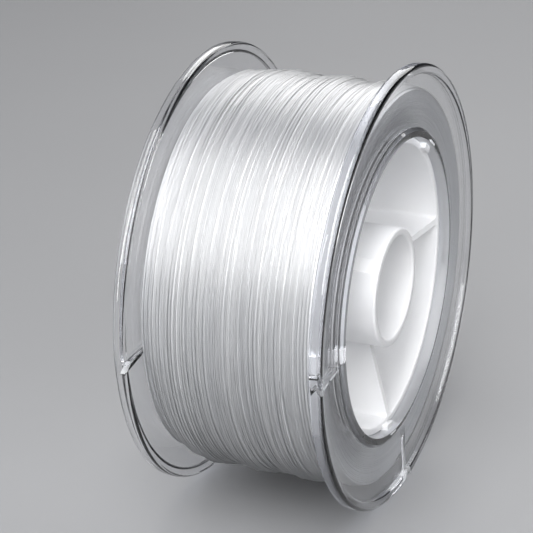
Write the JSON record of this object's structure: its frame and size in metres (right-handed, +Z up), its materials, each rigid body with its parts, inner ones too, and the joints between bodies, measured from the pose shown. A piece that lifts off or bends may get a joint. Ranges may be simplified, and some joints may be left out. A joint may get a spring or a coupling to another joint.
{
  "type": "fishing line spool",
  "caption": "Clear round spool wound with clear nylon fishing line, with rimmed flanges, a line slit and a white ribbed hub insert.",
  "frame": {"origin": "centre of the spool, on the hub bore's axis at mid-width", "axes": "+Y along the spool axis, out of the flange with the long line slit; +Z up, with the spool standing on its two rims"},
  "size_m": [0.08, 0.0376, 0.08],
  "materials": {
    "clear_plastic": "clear, polished",
    "white_plastic": "glossy, opaque",
    "nylon_line": "glossy, translucent"
  },
  "bodies": {
    "root": {"front_flange": "clear_plastic", "rear_flange": "clear_plastic", "hub_insert": "white_plastic", "line_winding": "nylon_line", "line_inner_end": "nylon_line", "line_outer_end": "nylon_line"}
  },
  "joints": []
}
